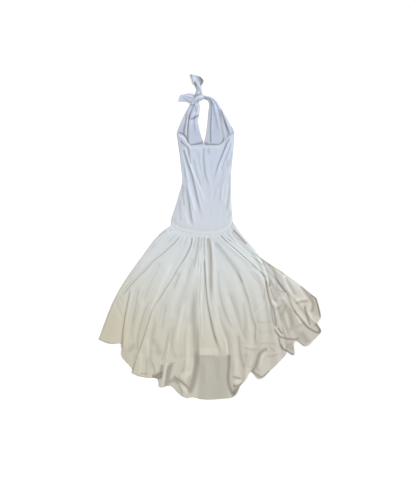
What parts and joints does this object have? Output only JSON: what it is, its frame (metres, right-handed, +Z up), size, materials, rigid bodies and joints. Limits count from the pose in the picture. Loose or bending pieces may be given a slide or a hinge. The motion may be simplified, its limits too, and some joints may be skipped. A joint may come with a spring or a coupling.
{
  "type": "halter dress",
  "caption": "Long white halter dress in limp knit, laid flat with its low back up, strap ends tied in a knot, gathered skirt spread in a fan.",
  "frame": {"origin": "middle of the laid dress, on the surface it lies on", "axes": "+Y along the dress towards the neck, +Z up from the surface on the dress's back, X across it"},
  "size_m": [1.155, 1.6906, 0.0265],
  "materials": {
    "back_bodice": "matt white jersey, right side",
    "back_skirt": "matt white jersey, right side",
    "front_left": "matt white jersey, wrong side",
    "front_right": "matt white jersey, wrong side",
    "front_skirt": "matt white jersey, wrong side",
    "halter_knot": "matt white jersey, right side",
    "left_tie_end": "matt white jersey, right side",
    "neckline_turnback": "matt white jersey, right side",
    "top_tie_end": "matt white jersey, right side"
  },
  "bodies": {
    "root": {"back_bodice": "back_bodice", "back_skirt": "back_skirt", "front_left": "front_left", "front_right": "front_right", "front_skirt": "front_skirt", "halter_knot": "halter_knot", "left_tie_end": "left_tie_end", "neckline_turnback": "neckline_turnback", "top_tie_end": "top_tie_end"}
  },
  "joints": []
}
